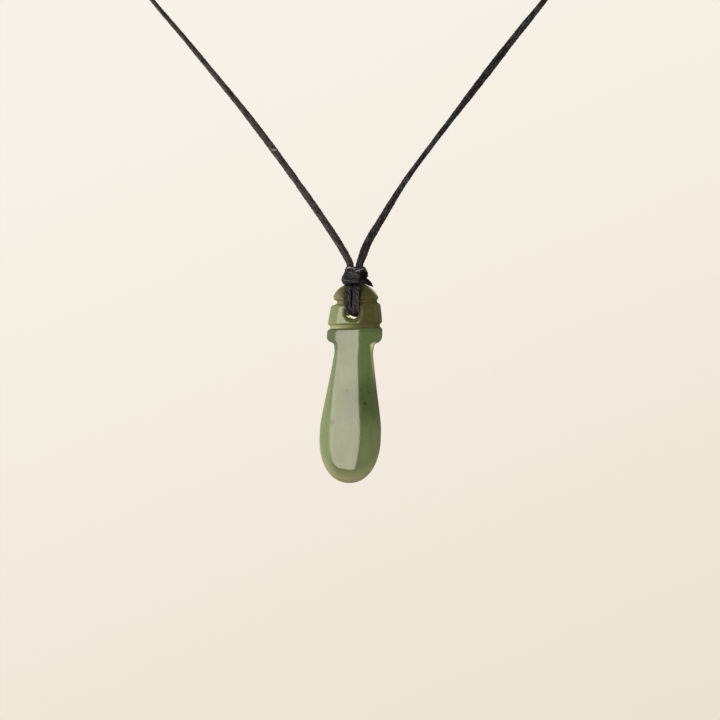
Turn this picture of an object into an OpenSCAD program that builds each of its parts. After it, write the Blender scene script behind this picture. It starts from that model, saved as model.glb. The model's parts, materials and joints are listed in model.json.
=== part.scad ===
// Mere pendant: a small stone club hung by its drilled handle on a waxed neck cord.
// Millimetres, +Z up, and the pendant's face looks along -Y. The origin is at the nape of
// the neck, where the cord is carried, and the pendant hangs in front of it and below it.

/* [Stone] */
// Width of the domed butt at its foot
dome_w = 11.2; // [10.4:0.1:11.6]
// Thickness of the domed butt at its foot
dome_t = 4.8; // [4.2:0.1:5.0]
// Height of the dome's crown above the hole
dome_rise = 7.45; // [7.2:0.05:7.5]
// Width of the collar below the upper groove
collar_top_w = 12.2; // [11.2:0.1:12.6]
// Width of the collar above the lower groove
collar_foot_w = 13.4; // [12.8:0.1:14.0]
// Thickness of the collar beside the hole
collar_t = 5.3; // [5.0:0.1:5.4]
// Width of the flange that ends the handle
flange_w = 13.75; // [13.0:0.05:14.5]
// Thickness of the flange
flange_t = 5.6; // [5.4:0.1:5.8]
// Depth of the two grooves at the stone's sides
groove_depth = 0.65; // [0.4:0.05:0.9]
// Width of the neck at its narrowest
neck_w = 9.55; // [9.0:0.05:10.0]
// Thickness of the neck
neck_t = 5; // [4.8:0.1:5.2]
// Width of the blade at its widest
blade_w = 15.2; // [14.0:0.05:16.5]
// Thickness of the blade
blade_t = 5.2; // [4.6:0.1:5.8]
// Distance from the hole down to the widest part of the blade
belly_drop = 31; // [29.5:0.5:32]
// Distance from the hole down to the foot of the blade
foot_drop = 42.2; // [41:0.1:44]
// Width of the rounded band along the edge of the blade
edge_band = 3.4; // [3:0.1:4]
// Height of the rounded band at the foot of the blade
foot_band = 4.4; // [3.4:0.1:6]

/* [Hole] */
// Diameter of the drilled hole
hole_d = 3.3; // [3.2:0.05:3.5]
// Diameter of the bevel round each mouth of the hole
rim_d = 4.7; // [4.5:0.1:5.0]
// Distance of the hole from the stone's own middle line
hole_offset = 0.85; // [0.8:0.05:1.1]
// Lean of the stone as it hangs, in degrees, with its foot to the left
lean = 2.4; // [0:0.1:4]

/* [Cord] */
// Thickness of the neck cord
cord_d = 1.5; // [1.2:0.1:1.6]
// Width of the flattened cord where it is doubled through the hole
strand_w = 2; // [1.6:0.1:2.0]
// Thickness of the flattened cord there
strand_t = 1.15; // [0.9:0.05:1.2]
// Radius of the loop that the doubled cord makes round the butt of the stone
loop_r = 3.65; // [3.6:0.05:3.8]

/* [Binding] */
// Height of the bound knot, from the lips beside the stone's crown to its top
binding_h = 4.4; // [4.2:0.1:4.6]
// Number of turns in the binding
binding_turns = 6; // [4:1:8]
// How far one turn stands out beyond the hollow between two turns
turn_relief = 0.22; // [0.1:0.02:0.3]
// Length of the sliding knot at the nape
nape_knot_l = 11; // [9:0.5:11.5]
// Diameter of the sliding knot at the nape
nape_knot_d = 4.8; // [4.2:0.1:5.4]
// Number of turns in the sliding knot
nape_turns = 7; // [5:1:9]

/* [Hidden] */

// Places: the top of the binding, the middle of the hole, and the heights above the hole
BINDING_TOP = [0, -137, -112];
DOME_MIDDLE = 3;
BINDING_FOOT = 7.05;
HOLE = BINDING_TOP + [-0.75, 0, -BINDING_FOOT - binding_h];
LOOP_HEIGHT = 3.42;

// Colours
JADE = [0.42, 0.52, 0.33];
WAXED = [0.13, 0.12, 0.11];

// Fineness
STONE_SIDES = 44;
CORD_SIDES = 8;
KNOT_SIDES = 20;
DOME_RINGS = 8;
FOOT_RINGS = 9;
ROUTE_STEPS = 2;
CLEAR = 0.1;

// Neck cord from the binding's top, up its left side, round the nape and down the right
ROUTE = [
    [-1.25, -137, -112], [-1.25, -137, -111.25], [-3.25, -132.25, -107.5],
    [-8.5, -123, -99.25], [-15, -113, -89.75], [-21.75, -103, -80.25],
    [-29, -93, -70.5], [-36.75, -83, -60.75], [-44.75, -73, -50.75],
    [-54, -62, -39.5], [-61, -52, -30], [-64.75, -42, -22],
    [-64, -31, -15], [-57.5, -20, -8.5], [-47, -11, -4],
    [-34, -4.5, -1.5], [-20.5, -1, -0.25], [-6, 0, 0],
    [0, 0, 0],
    [6, 0, 0], [20.5, -1, -0.25], [34, -4.5, -1.5],
    [46.5, -11, -4], [56, -20, -8.5], [61.5, -31, -15],
    [61.5, -42, -22], [57.25, -52, -30], [50.25, -62, -39.5],
    [41.5, -73, -50.75], [34, -83, -60.75], [26.75, -93, -70.5],
    [19.5, -103, -80.25], [12.75, -113, -89.75], [7, -123, -99.25],
    [2.5, -132.25, -107.5], [1.25, -137, -111.25], [1.25, -137, -112]];

// A direction square to the neck loop's leaning plane, for setting out its rings
LOOP_NORMAL = [0, -0.67, 0.74];

// Handle of the stone below its dome, one row for each section: height above the hole,
// half width, half thickness, slant across the width, width of the rounded band at its edges,
// shift to the right
HANDLE = [
    [3.45, dome_w / 2 - 0.05, dome_t / 2, 0.06, 2.4, 0],
    [3.3, dome_w / 2 - 0.25, dome_t / 2 - 0.08, 0.065, 2.2, 0],
    [3.15, dome_w / 2 + 0.05 - groove_depth, dome_t / 2 - 0.2, 0.07, 2, 0.25],
    [2.7, dome_w / 2 - groove_depth, dome_t / 2 - 0.38, 0.08, 2, 0.3],
    [2.3, dome_w / 2 + 0.05 - groove_depth, dome_t / 2 - 0.2, 0.085, 2, 0.25],
    [2.1, collar_top_w / 2 - 0.45, collar_t / 2 - 0.27, 0.085, 2.1, 0.1],
    [1.9, collar_top_w / 2 - 0.1, collar_t / 2 - 0.15, 0.08, 2.2, 0],
    [1.7, collar_top_w / 2, collar_t / 2 - 0.1, 0.075, 2.2, 0],
    [0, (collar_top_w + collar_foot_w) / 4, collar_t / 2, 0.07, 2.2, 0],
    [-2.4, collar_foot_w / 2, collar_t / 2 + 0.1, 0.08, 2.2, 0],
    [-2.7, collar_foot_w / 2 - 0.1, collar_t / 2 + 0.05, 0.08, 2.2, 0],
    [-2.95, collar_foot_w / 2 - 0.4, collar_t / 2 - 0.08, 0.08, 2.1, 0],
    [-3.2, collar_foot_w / 2 + 0.1 - groove_depth, collar_t / 2 - 0.2, 0.08, 2, 0],
    [-3.85, collar_foot_w / 2 + 0.05 - groove_depth, collar_t / 2 - 0.38, 0.08, 2, 0.1],
    [-4.05, flange_w / 2 - 0.5, flange_t / 2 - 0.3, 0.075, 2.1, 0.1],
    [-4.3, flange_w / 2 - 0.2, flange_t / 2 - 0.12, 0.07, 2.2, 0.1],
    [-4.8, flange_w / 2 - 0.05, flange_t / 2, 0.06, 2.2, 0.05],
    [-5.5, flange_w / 2, flange_t / 2, 0.05, 2.2, 0],
    [-6.3, flange_w / 2 - 0.05, flange_t / 2 - 0.02, 0.045, 2.2, 0],
    [-6.85, flange_w / 2 - 0.3, flange_t / 2 - 0.06, 0.04, 1.9, 0],
    [-7.25, flange_w / 2 - 0.75, flange_t / 2 - 0.1, 0.03, 1.5, 0],
    [-7.5, neck_w / 2 + 0.7, neck_t / 2 + 0.17, 0.025, 1.1, 0],
    [-7.75, neck_w / 2 + 0.3, neck_t / 2 + 0.14, 0.02, 0.8, 0]];

// Neck and blade down to the widest part, in the same columns, joined by a smooth curve
BLADE = [
    [-8.1, neck_w / 2 + 0.15, neck_t / 2 + 0.1, 0.01, 0.6, 0],
    [-9.7, neck_w / 2, neck_t / 2, 0, 0.6, 0],
    [-12.3, neck_w / 2 + 0.3, neck_t / 2, 0, 0.85, 0],
    [-16.3, neck_w / 2 + 0.9, neck_t / 2, 0, 1.25, 0],
    [-20.3, neck_w / 2 + 1.55, blade_t / 2 - 0.05, 0, 1.75, 0],
    [-24.3, blade_w / 2 - 0.6, blade_t / 2, 0, 2.4, 0],
    [-28, blade_w / 2 - 0.1, blade_t / 2, 0, edge_band - 0.4, 0],
    [-belly_drop, blade_w / 2, blade_t / 2, 0, edge_band, 0]];
BLADE_STEPS = 2;
// How much thinner a blade section would be at its edges than in the middle, before its
// rounding. Above the neck's top the faces curve as much as the neck's do, whatever the width
CROWN = 0.32;
NECK_TOP = -8;
// Shape of the round foot's outline, and the angle from its widest part where it closes:
// a fullness of 2 would be an ellipse
FOOT_FULLNESS = 2.15;
FOOT_END = 88;
// Shape of the dome's outline, the angles where it closes and ends, how fast it thins
// towards its crown beside its width, its slant at the foot and its rounded band
DOME_OUTLINE = 2;
DOME_CLOSE = 86;
DOME_END = 12;
DOME_THINNING = 1.8;
DOME_SLANT = 0.03;
DOME_BAND = 2.4;

// Front half of the doubled cord above its round loop, one row for each section: depth in
// front of the hole, height above the hole, middle of the pair, half of the pair's pitch
STRAND_ROWS = [
    [2.05, BINDING_FOOT, 0.75, 0.92], [2.05, 6.85, 0.75, 0.92],
    [2.55, 6.1, 0.55, 0.95], [3.25, 4.8, 0.25, 1.02]];
// Middle of the pair where it meets the loop, and then its middle, half of its pitch and the
// height of each strand where the pair is squeezed together in the hole
LOOP_MIDDLE = 0.1;
BORE_MIDDLE = 0.2;
BORE_PITCH = 0.62;
BORE_STRAND_H = 1.75;
// Angles round the loop, from level with its middle: where the pair narrows and where its
// strands grow tall, over how many degrees, and the step between sections
NARROWING = [20, 28];
GROWING = [45, 40];
LOOP_STEP = 15;

// Binding, one row for each section: share of its height, middle, half width, half depth
BINDING_ROWS = [
    [0, -0.15, 2.8, 2.65], [0.2, -0.3, 3.05, 2.75], [0.75, 0.15, 2.9, 2.3],
    [0.93, 0.1, 2.4, 1.95], [1, 0, 2.15, 1.8]];
BINDING_SLANT = 0.09;
// Radius of the arch under the binding, and the height of its middle above the hole
ARCH_R = 1.35;
ARCH_MIDDLE = 6.75;
KNOT_FULLNESS = 2.4;
// How far the sliding knot narrows at each end
NAPE_SHOULDER = 0.5;

// Cut end of the binding cord: place from the hole, half width, half thickness
TAIL_ROWS = [
    [3, -2.8, 7.9, 0.85, 0.36], [3.6, -2.75, 7.55, 0.75, 0.36], [4.2, -2.6, 7.15, 0.58, 0.34],
    [4.75, -2.45, 6.7, 0.36, 0.26], [5.2, -2.35, 6.2, 0.1, 0.1]];

function unit(v) = v / norm(v);

// Slope of a smooth line at one of its rows, where the shorter span beside it counts more
function slope(rows, i) =
    let(last = len(rows) - 1,
        before = i > 0 ? rows[i] - rows[i - 1] : rows[1] - rows[0],
        after = i < last ? rows[i + 1] - rows[i] : rows[last] - rows[last - 1],
        a = norm(before),
        b = norm(after))
    (before * b / a + after * a / b) / (a + b);

// Rows of a smooth line through the given rows, with a number of steps to each span
function smooth(rows, steps) = concat(
    [for (i = [0 : len(rows) - 2])
        let(reach = norm(rows[i + 1] - rows[i]), m0 = slope(rows, i) * reach,
            m1 = slope(rows, i + 1) * reach)
        for (k = [0 : steps - 1])
            let(t = k / steps)
            rows[i] * (2 * t * t * t - 3 * t * t + 1) + m0 * (t * t * t - 2 * t * t + t)
                + rows[i + 1] * (3 * t * t - 2 * t * t * t) + m1 * (t * t * t - t * t)],
    [rows[len(rows) - 1]]);

// A closed solid through rings of points, each ring with as many points as the next
module loft(rings) {
    sides = len(rings[0]);
    last = len(rings) - 1;
    polyhedron(
        points = [for (ring = rings) each ring],
        faces = concat(
            [[for (i = [0 : sides - 1]) i]],
            [for (k = [0 : last - 1], i = [0 : sides - 1])
                let(j = (i + 1) % sides, low = k * sides, high = low + sides)
                each [[low + i, high + i, high + j], [low + i, high + j, low + j]]],
            [[for (i = [sides - 1 : -1 : 0]) last * sides + i]]));
}

// Cosine or sine bent so that an oval is fuller than an ellipse above 2, and leaner below
function bent(v, fullness) = sign(v) * pow(abs(v), 2 / fullness);

// Share of the full thickness left at some distance in from a rounded edge
function rounded(inside, band) = inside >= band ? 1 : sqrt(1 - pow(1 - max(0, inside) / band, 2));

// One section of the stone, from a row of HANDLE or BLADE. Its points stand closer together
// towards the edges, as on an ellipse
function stone_ring(row) =
    let(band = min(row[4], row[1]),
        crown_w = row[0] > NECK_TOP ? neck_w / 2 + 0.5 : row[1])
    [for (i = [0 : STONE_SIDES - 1])
        let(a = -360 * i / STONE_SIDES,
            x = row[1] * cos(a),
            thick = row[2] * (1 - CROWN * pow(x / crown_w, 2)) * rounded(row[1] - abs(x), band))
        [hole_offset + row[5] + x, sign(sin(a)) * thick, row[0] + row[3] * x]];

// Rows of the dome, from near its crown down to its widest
function dome_rows() =
    [for (k = [0 : DOME_RINGS - 1])
        let(a = DOME_CLOSE - k * (DOME_CLOSE - DOME_END) / (DOME_RINGS - 1),
            share = bent(cos(a), DOME_OUTLINE))
        [DOME_MIDDLE + (dome_rise - DOME_MIDDLE) * bent(sin(a), DOME_OUTLINE),
            dome_w / 2 * share, dome_t / 2 * pow(share, DOME_THINNING), DOME_SLANT * share,
            DOME_BAND, 0]];

// Rows of the round foot, from the widest part of the blade down
function foot_rows() =
    [for (k = [1 : FOOT_RINGS])
        let(a = FOOT_END * k / FOOT_RINGS,
            rise = (foot_drop - belly_drop) * (1 - bent(sin(a), FOOT_FULLNESS)))
        [rise - foot_drop,
            blade_w / 2 * bent(cos(a), FOOT_FULLNESS),
            blade_t / 2 * rounded(rise, foot_band), 0, edge_band, 0]];

// The carved stone, hung from its hole
module mere() {
    rim_depth = (rim_d - hole_d) / 2;
    face = collar_t / 2 - 0.05;
    color(JADE)
    translate(HOLE)
    rotate([0, lean, 0])
    difference() {
        loft([for (row = concat(dome_rows(), HANDLE, smooth(BLADE, BLADE_STEPS), foot_rows()))
            stone_ring(row)]);
        rotate([90, 0, 0])
            cylinder(d = hole_d, h = 2 * collar_t, center = true, $fn = 48);
        for (side = [-1, 1])
            rotate([90 * side, 0, 0])
            translate([0, 0, face - rim_depth])
                cylinder(r1 = hole_d / 2, r2 = hole_d / 2 + 2 * rim_depth,
                    h = 2 * rim_depth, $fn = 48);
    }
}

// A cord swept along rows of place, half width and half thickness; across is the
// direction in which its width lies
module sweep(rows, across) {
    places = [for (row = rows) [row[0], row[1], row[2]]];
    loft([for (i = [0 : len(rows) - 1])
        let(along = unit(slope(places, i)),
            thick = unit(cross(along, across)),
            wide = cross(thick, along))
        [for (k = [0 : CORD_SIDES - 1])
            let(a = 360 * (k + 0.5) / CORD_SIDES)
            places[i] + wide * rows[i][3] * cos(a) + thick * rows[i][4] * sin(a)]]);
}

// The whole neck loop, from the binding round the nape and back to the binding
module neck_cord() {
    color(WAXED)
    sweep([for (p = smooth(ROUTE, ROUTE_STEPS)) [p[0], p[1], p[2], cord_d / 2, cord_d / 2]],
        LOOP_NORMAL);
}

// How far a change is along at an angle, given where it starts and over how many degrees
function reached(a, change) = min(1, max(0, (a - change[0]) / change[1]));

// Rows of one doubled strand from the binding down its front to the bottom of the hole
function strand_front(side) = concat(
    [for (row = STRAND_ROWS)
        [row[2] + side * row[3], -row[0], row[1], row[3] - CLEAR / 2, strand_t / 2]],
    [for (a = [0 : LOOP_STEP : 90])
        let(narrow = reached(a, NARROWING),
            pitch = (strand_w + CLEAR) / 2 * (1 - narrow) + BORE_PITCH * narrow,
            middle = LOOP_MIDDLE + narrow * (BORE_MIDDLE - LOOP_MIDDLE),
            height = strand_t + reached(a, GROWING) * (BORE_STRAND_H - strand_t))
        [middle + side * pitch, -loop_r * cos(a), LOOP_HEIGHT - loop_r * sin(a),
            pitch - CLEAR / 2, height / 2]]);

// One strand of the doubled cord: down the front, through the hole and up the back
module hanging_strand(side) {
    front = strand_front(side);
    back = [for (i = [len(front) - 2 : -1 : 0])
        let(row = front[i]) [row[0], -row[1], row[2], row[3], row[4]]];
    color(WAXED)
    translate(HOLE)
        sweep(concat(front, back), [1, 0, 0]);
}

// A row between two rows of a table whose first column is a share from 0 to 1
function row_at(rows, share, i = 0) =
    i >= len(rows) - 2 || share <= rows[i + 1][0] ?
        rows[i] + (rows[i + 1] - rows[i]) * (share - rows[i][0]) / (rows[i + 1][0] - rows[i][0]) :
        row_at(rows, share, i + 1);

// Rings of a bound knot along Z, four to a turn, whose turns slant between its flat ends
function bound_rings(rows, height, turns, relief, slant) =
    [for (k = [0 : 4 * turns])
        let(share = k / (4 * turns),
            row = row_at(rows, share),
            stand = relief * (k % 4 == 0 ? 0 : 1),
            tilt = slant * min(1, 4 * share, 4 * (1 - share)))
        [for (i = [0 : KNOT_SIDES - 1])
            let(a = 360 * i / KNOT_SIDES,
                x = (row[2] + stand - relief) * bent(cos(a), KNOT_FULLNESS),
                y = (row[3] + stand - relief) * bent(sin(a), KNOT_FULLNESS))
            [row[1] + x, y, height * share + tilt * x]]];

// The whipped knot that gathers the doubled cord above the stone. It arches over the dome,
// with a lip in front of the crown and another behind it
module binding() {
    color(WAXED)
    difference() {
        translate(BINDING_TOP - [0, 0, binding_h])
            loft(bound_rings(BINDING_ROWS, binding_h, binding_turns, turn_relief, BINDING_SLANT));
        translate(HOLE + [0, 0, ARCH_MIDDLE])
        rotate([0, 90, 0])
            cylinder(r = ARCH_R, h = 4 * binding_h, center = true, $fn = 24);
    }
}

// The cut end of the binding cord, which sweeps down past the dome
module binding_tail() {
    color(WAXED)
    translate(HOLE)
        sweep(smooth(TAIL_ROWS, 2), [0.6, 0, 0.8]);
}

// The sliding knot at the nape, threaded on the neck cord
module nape_knot() {
    full = nape_knot_d / 2;
    end = full - NAPE_SHOULDER;
    rows = [[0, 0, end, end], [0.15, 0, full, full], [0.85, 0, full, full], [1, 0, end, end]];
    color(WAXED)
    rotate([0, 90, 0])
    difference() {
        translate([0, 0, -nape_knot_l / 2])
            loft(bound_rings(rows, nape_knot_l, nape_turns, turn_relief, 0));
        cylinder(d = cord_d + 4 * CLEAR, h = 2 * nape_knot_l, center = true, $fn = 24);
    }
}

mere();
neck_cord();
hanging_strand(-1);  // hanging_strand_left
hanging_strand(1);  // hanging_strand_right
binding();
binding_tail();
nape_knot();
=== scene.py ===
"""The looks of the mere pendant: a polished greenstone club on a bound and knotted waxed cord.

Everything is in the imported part's frame, in metres: +Z up, the pendant's face towards -Y, and
the origin at the nape of the neck. Tables marked mm hold millimetres from the drilled hole.
"""
import json
import math
from types import SimpleNamespace

import bpy
import numpy as np
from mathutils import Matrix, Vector, noise


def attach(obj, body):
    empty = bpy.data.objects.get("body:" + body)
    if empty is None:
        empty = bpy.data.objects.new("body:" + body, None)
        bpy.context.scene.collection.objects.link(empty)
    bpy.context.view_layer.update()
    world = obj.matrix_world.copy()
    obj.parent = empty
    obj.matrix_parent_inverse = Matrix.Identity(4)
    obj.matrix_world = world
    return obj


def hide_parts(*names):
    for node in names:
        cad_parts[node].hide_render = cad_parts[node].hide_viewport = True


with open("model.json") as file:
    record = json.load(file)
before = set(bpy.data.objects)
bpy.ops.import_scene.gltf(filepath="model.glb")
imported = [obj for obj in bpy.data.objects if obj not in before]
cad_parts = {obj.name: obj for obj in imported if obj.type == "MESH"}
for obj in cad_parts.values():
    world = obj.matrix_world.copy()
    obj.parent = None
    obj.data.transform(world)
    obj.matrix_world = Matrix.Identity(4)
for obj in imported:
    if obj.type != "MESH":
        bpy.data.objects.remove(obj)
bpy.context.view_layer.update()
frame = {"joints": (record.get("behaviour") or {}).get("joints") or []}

MM = 0.001
# The drilled hole is where the stone's hinge is
HOLE = np.array(frame["joints"][0]["pos_m"])
# Middle of the binding's top, and the binding's height in mm
BINDING_TOP = np.array([0.0, -137.0, -112.0]) * MM
BINDING_H = 4.4
# The stone leans, and its middle line passes to the right of the hole
LEAN = math.radians(2.4)
STONE_OFFSET = 0.85

# Camera at the photograph's angle: level, a metre in front of the pendant
CAMERA_AT = (0.00122, -1.137, -0.1352)
CAMERA_LENS = 202
CAMERA_SENSOR = 36

# Soft box in front of the pendant, by the angles at which the pendant sees its edges
BOX_DISTANCE = 1.5
BOX_FOOT = math.radians(-18)
BOX_HEAD = math.radians(14)
BOX_RADIANCE = 5.2
BOX_COLOUR = (1.0, 0.87, 0.78)
# Its panels from left to right, softer at the left: the two edges in degrees, share of the light
BOX_PANELS = [(-50, -46, 0.08), (-46, -42, 0.22), (-42, -38.5, 0.42), (-38.5, -35, 0.65),
              (-35, -32, 0.85), (-32, 7.5, 1)]

# Narrow light behind the handle, which shines on the bore's pale wall: place from the hole
BACK_LIGHT_FROM = (0.19, 0.3, -0.01)
BACK_LIGHT_AIM = (-0.0011, 0, -0.0009)
BACK_LIGHT_SIDE = 0.0015
BACK_LIGHT_RADIANCE = 12.0
BACK_LIGHT_SPREAD = math.radians(0.5)

FLOOR_MIDDLE = (0, -0.1, -1.4)
FLOOR_RADIUS = 6.0
FLOOR_SIDES = 128


def srgb(red, green, blue):
    """A linear colour from 8-bit display values."""
    def linear(value):
        value /= 255
        return value / 12.92 if value <= 0.04045 else ((value + 0.055) / 1.055) ** 2.4
    return (linear(red), linear(green), linear(blue), 1.0)


def from_hole(x, y, z):
    """A place in the frame, from one in mm from the drilled hole."""
    return HOLE + np.array([x, y, z]) * MM


# Curves and meshes

def unit(vector):
    return vector / np.linalg.norm(vector)


def bent(value, fullness):
    """A cosine or sine for an outline of some fullness, where an ellipse has 2."""
    return math.copysign(abs(value) ** (2 / fullness), value)


def slope(rows, i):
    """Slope of a smooth line at one of its rows, where the shorter span beside it counts more."""
    last = len(rows) - 1
    before = rows[i] - rows[i - 1] if i > 0 else rows[1] - rows[0]
    after = rows[i + 1] - rows[i] if i < last else rows[last] - rows[last - 1]
    before_length = np.linalg.norm(before)
    after_length = np.linalg.norm(after)
    weighed = before * after_length / before_length + after * before_length / after_length
    return weighed / (before_length + after_length)


def smooth(rows, steps):
    """Rows of a smooth line through the given rows, with a number of steps to each span."""
    rows = [np.array(row, float) for row in rows]
    made = []
    for i in range(len(rows) - 1):
        reach = np.linalg.norm(rows[i + 1] - rows[i])
        leaving = slope(rows, i) * reach
        arriving = slope(rows, i + 1) * reach
        for k in range(steps):
            t = k / steps
            made.append(rows[i] * (2 * t**3 - 3 * t**2 + 1) + leaving * (t**3 - 2 * t**2 + t)
                        + rows[i + 1] * (3 * t**2 - 2 * t**3) + arriving * (t**3 - t**2))
    made.append(rows[-1])
    return np.array(made)


def evenly(points, step):
    """Points set out again at even steps along the line."""
    lengths = np.r_[0, np.cumsum(np.linalg.norm(np.diff(points[:, :3], axis=0), axis=1))]
    count = max(2, int(round(lengths[-1] / step)) + 1)
    at = np.linspace(0, lengths[-1], count)
    return np.array([np.interp(at, lengths, column) for column in points.T]).T


def loft(name, rings, lengths=None):
    """A closed mesh through rings of points, with its UV map laid round and along it."""
    sides = len(rings[0])
    points = [tuple(point) for ring in rings for point in ring]
    faces = [tuple(range(sides))]
    for k in range(len(rings) - 1):
        for i in range(sides):
            j = (i + 1) % sides
            faces.append((k * sides + i, (k + 1) * sides + i, (k + 1) * sides + j, k * sides + j))
    faces.append(tuple(reversed(range((len(rings) - 1) * sides, len(rings) * sides))))
    mesh = bpy.data.meshes.new(name)
    mesh.from_pydata(points, [], faces)
    if lengths is not None:
        layer = mesh.uv_layers.new(name="along")
        for face in mesh.polygons:
            around = [v % sides for v in face.vertices]
            wraps = max(around) - min(around) > sides / 2
            for loop, vertex in zip(face.loop_indices, face.vertices):
                turn = vertex % sides
                turn += sides if wraps and turn < sides / 2 else 0
                layer.data[loop].uv = (turn / sides, lengths[vertex // sides])
    mesh.validate()
    mesh.update()
    mesh.shade_smooth()
    thing = bpy.data.objects.new(name, mesh)
    bpy.context.scene.collection.objects.link(thing)
    return thing


def outward(thing):
    """Turns a closed mesh's faces outward."""
    mesh = thing.data
    volume = 0.0
    for face in mesh.polygons:
        corners = [mesh.vertices[v].co for v in face.vertices]
        for i in range(1, len(corners) - 1):
            volume += corners[0].dot(corners[i].cross(corners[i + 1]))
    if volume < 0:
        mesh.flip_normals()
    return thing


# At its very ends a cord still has this share of its width and thickness
END_SHARE = 0.2


def strand(name, rows, across, sides=16, plies=3, ply_depth=0.05, ply_pitch=4.5 * MM, blunt=0.6):
    """A cord through rows of place, half width, half thickness and roll in radians, in metres.

    across says in which direction the width lies where the roll is nothing, as one vector for
    the whole cord or a function of the place and the direction along the cord."""
    rows = np.array(rows, float)
    places = rows[:, :3]
    lengths = np.r_[0, np.cumsum(np.linalg.norm(np.diff(places, axis=0), axis=1))]
    rings = []
    for i, row in enumerate(rows):
        place = row[:3]
        half_w, half_t, roll = row[3:]
        along = unit(places[min(i + 1, len(rows) - 1)] - places[max(i - 1, 0)])
        flat = across(place, along) if callable(across) else np.array(across, float)
        thick = unit(np.cross(along, flat))
        wide = np.cross(thick, along)
        width = (wide * math.cos(roll) + thick * math.sin(roll)) * half_w
        depth = (thick * math.cos(roll) - wide * math.sin(roll)) * half_t
        from_end = min(1, min(lengths[i], lengths[-1] - lengths[i]) / (blunt * half_t))
        full = END_SHARE + (1 - END_SHARE) * math.sqrt(1 - (1 - from_end) ** 2)
        ring = []
        for k in range(sides):
            angle = 2 * math.pi * k / sides
            twist = 2 * math.pi * lengths[i] / ply_pitch
            ply = 1 + ply_depth * math.cos(plies * (angle + twist))
            ring.append(place + full * ply * (width * math.cos(angle) + depth * math.sin(angle)))
        rings.append(ring)
    return outward(loft(name, rings, lengths / MM))


def evaluated(thing, name):
    """A new object with the modifiers of another one applied."""
    graph = bpy.context.evaluated_depsgraph_get()
    mesh = bpy.data.meshes.new_from_object(thing.evaluated_get(graph))
    mesh.name = name
    made = bpy.data.objects.new(name, mesh)
    bpy.context.scene.collection.objects.link(made)
    return made


# Materials

class Nodes:
    """A short way to write the nodes of a material or of the world."""

    def __init__(self, owner):
        owner.use_nodes = True
        self.owner = owner
        self.tree = owner.node_tree

    def add(self, kind, inputs=(), **settings):
        node = self.tree.nodes.new(kind)
        for key, value in settings.items():
            setattr(node, key, value)
        self.put(node, inputs)
        return node

    def put(self, node, inputs):
        """Gives sockets of a node their values, or links them."""
        for key, value in dict(inputs).items():
            if isinstance(value, bpy.types.NodeSocket):
                self.tree.links.new(value, node.inputs[key])
            else:
                node.inputs[key].default_value = value

    def finish(self, inputs):
        """The material, with what its shader takes in."""
        self.put(self.tree.nodes["Principled BSDF"], inputs)
        return self.owner

    def maths(self, operation, a, b=0.0, clamp=False):
        node = self.add("ShaderNodeMath", {0: a, 1: b}, operation=operation, use_clamp=clamp)
        return node.outputs[0]

    def plus(self, a, b):
        return self.maths("ADD", a, b)

    def minus(self, a, b):
        return self.maths("SUBTRACT", a, b)

    def times(self, a, b):
        return self.maths("MULTIPLY", a, b)

    def vector(self, operation, a, b=(0, 0, 0), output="Vector"):
        return self.add("ShaderNodeVectorMath", {0: a, 1: b}, operation=operation).outputs[output]

    def split(self, vector):
        return self.add("ShaderNodeSeparateXYZ", {0: vector}).outputs

    def ramp(self, value, low, high, to_low=0.0, to_high=1.0):
        """A smooth step from one value to another."""
        node = self.add("ShaderNodeMapRange", {"Value": value, "From Min": low, "From Max": high,
                                               "To Min": to_low, "To Max": to_high},
                        interpolation_type="SMOOTHSTEP")
        return node.outputs[0]

    def fade(self, length, low, high, to_low=0.0, to_high=1.0):
        """The same step between two lengths in mm."""
        return self.ramp(length, low * MM, high * MM, to_low, to_high)

    def near(self, where, place, begins, full, stretch=(1, 1, 1)):
        """What lies near a place in mm from the hole, from the distance at which it begins to
        the one at which it is full. stretch is how much each direction counts."""
        away = self.vector("SUBTRACT", where, tuple(from_hole(*place)))
        distance = self.vector("LENGTH", self.vector("MULTIPLY", away, stretch), output="Value")
        return self.fade(distance, begins, full)

    def noise(self, where, scale, detail=3.0, roughness=0.5, stretch=None):
        if stretch:
            where = self.add("ShaderNodeMapping", {0: where, 3: stretch}).outputs[0]
        node = self.add("ShaderNodeTexNoise", {"Vector": where, "Scale": scale, "Detail": detail,
                                               "Roughness": roughness})
        return node.outputs["Fac"]

    def mix(self, share, a, b):
        return self.add("ShaderNodeMix", {0: share, 6: a, 7: b}, data_type="RGBA").outputs[2]

    def layers(self, colour, rows):
        """Colours laid over another, one by one: where each lies, how strong, and its colour."""
        for share, strength, other in rows:
            colour = self.mix(self.times(share, strength), colour, other)
        return colour

    def bump(self, height, strength, distance):
        """A surface raised by up to a distance in mm."""
        return self.add("ShaderNodeBump", {"Height": height, "Strength": strength,
                                           "Distance": distance * MM}).outputs[0]


# Inclusions in the stone, in mm across and up from the hole: place, radius, strength. They
# lie near the face, at one depth from the hole's middle
INCLUSION_DEPTH = -2.1
INCLUSIONS = [
    (-1.35, -19.3, 0.62, 1.0),
    (-4.9, -27.1, 0.8, 0.4),
    (0.4, -25.5, 0.7, 0.3),
    (2.5, -21.2, 0.5, 0.5),
    (3.15, -22.5, 0.55, 0.95),
    (4.1, -19.7, 0.35, 0.6),
    (3.6, -18.2, 0.3, 0.5),
    (2.9, -24.0, 0.6, 0.35),
]
BLADE_GREEN = srgb(98, 123, 76)
BLADE_CLOUD = srgb(71, 90, 52)
BLADE_LOWER = srgb(116, 133, 93)
# Painted light: the blade's paler left, as lit from the left; the same colour also tints the fine
# grain
BLADE_PAINTED_LIGHT_AND_GRAIN = srgb(125, 147, 96)
FOOT_PALE = srgb(160, 164, 128)
# Painted light: the thin edges paler, as rims that catch the light
EDGE_PAINTED_LIGHT = srgb(134, 152, 106)
HANDLE_OLIVE = srgb(74, 77, 38)
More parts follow.
